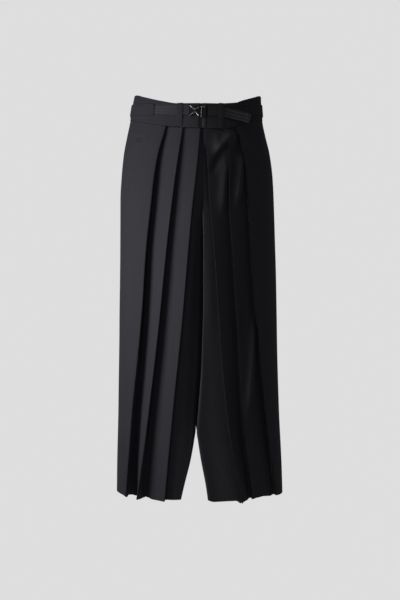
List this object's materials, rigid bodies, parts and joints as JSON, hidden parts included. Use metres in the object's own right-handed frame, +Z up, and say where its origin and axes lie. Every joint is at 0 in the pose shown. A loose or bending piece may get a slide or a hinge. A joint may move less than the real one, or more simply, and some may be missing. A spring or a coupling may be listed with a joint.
{
  "type": "pair of pleated hakama trousers",
  "caption": "Wide-leg pleated hakama trousers in dark suiting, hollow and shaped as worn, with a faced waistband, self-fabric belt, webbing and a side-release buckle.",
  "frame": {"origin": "centre of the waist ring, level with the middle of the waistband at the centre front", "axes": "+Z up along the body, front of the trousers towards -Y, wearer's right towards -X"},
  "size_m": [0.4252, 0.2897, 1.0139],
  "materials": {
    "wool_suiting": "matte woven twill",
    "webbing": "ribbed woven webbing",
    "buckle_plastic": "satin moulded plastic"
  },
  "bodies": {
    "root": {"front_right": "wool_suiting", "front_left": "wool_suiting", "back_right": "wool_suiting", "back_left": "wool_suiting", "fly_placket": "wool_suiting", "waistband": "wool_suiting", "belt_back": "wool_suiting", "webbing_right": "webbing", "webbing_left": "webbing", "webbing_free_end": "webbing", "buckle_socket": "buckle_plastic", "buckle_prong": "buckle_plastic", "loop_front_right": "wool_suiting", "loop_front_left": "wool_suiting", "loop_side_right": "wool_suiting", "loop_side_left": "wool_suiting", "loop_back": "wool_suiting"}
  },
  "joints": []
}
